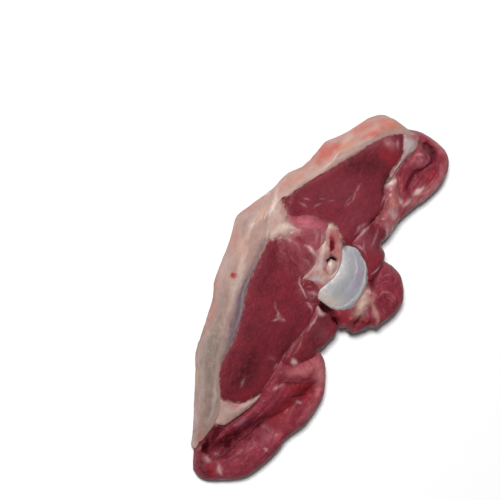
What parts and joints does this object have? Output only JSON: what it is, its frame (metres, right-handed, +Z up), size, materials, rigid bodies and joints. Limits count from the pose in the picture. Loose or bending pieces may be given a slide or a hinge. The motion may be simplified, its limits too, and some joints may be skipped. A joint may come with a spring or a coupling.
{
  "type": "raw lamb chop",
  "caption": "Raw lamb chop lying flat: two dark eye muscles under a pale fat cap, a bone with a cartilage face in the middle, and soft lean flaps at both ends.",
  "frame": {"origin": "centre of the box on the plane the chop lies on", "axes": "+X along the slice from the narrow flap to the long flap, +Y from the fat side to the bone side, +Z up from the lower cut face"},
  "size_m": [0.1641, 0.0794, 0.0182],
  "materials": {
    "outer_fat": "moist, satin",
    "inner_fat": "moist, satin",
    "membrane": "moist, satin",
    "bone": "wet cartilage, gloss",
    "ligament": "moist, satin",
    "dark_lean": "moist cut muscle, soft gloss",
    "pink_lean": "moist cut muscle, soft gloss",
    "flap_lean": "moist muscle, soft gloss"
  },
  "bodies": {
    "root": {"fat_cap": "outer_fat", "fat_seam": "inner_fat", "fat_wedge_upper": "inner_fat", "fat_wedge_lower": "inner_fat", "joint_fat": "inner_fat", "membrane_strip": "membrane", "hip_bone": "bone", "joint_ligament": "ligament", "eye_muscle_upper": "dark_lean", "eye_muscle_lower": "dark_lean", "neck_muscle": "dark_lean", "under_lobe": "dark_lean", "core_muscle": "pink_lean", "side_lobe": "flap_lean", "flap_upper": "flap_lean", "flap_lower": "flap_lean"}
  },
  "joints": []
}
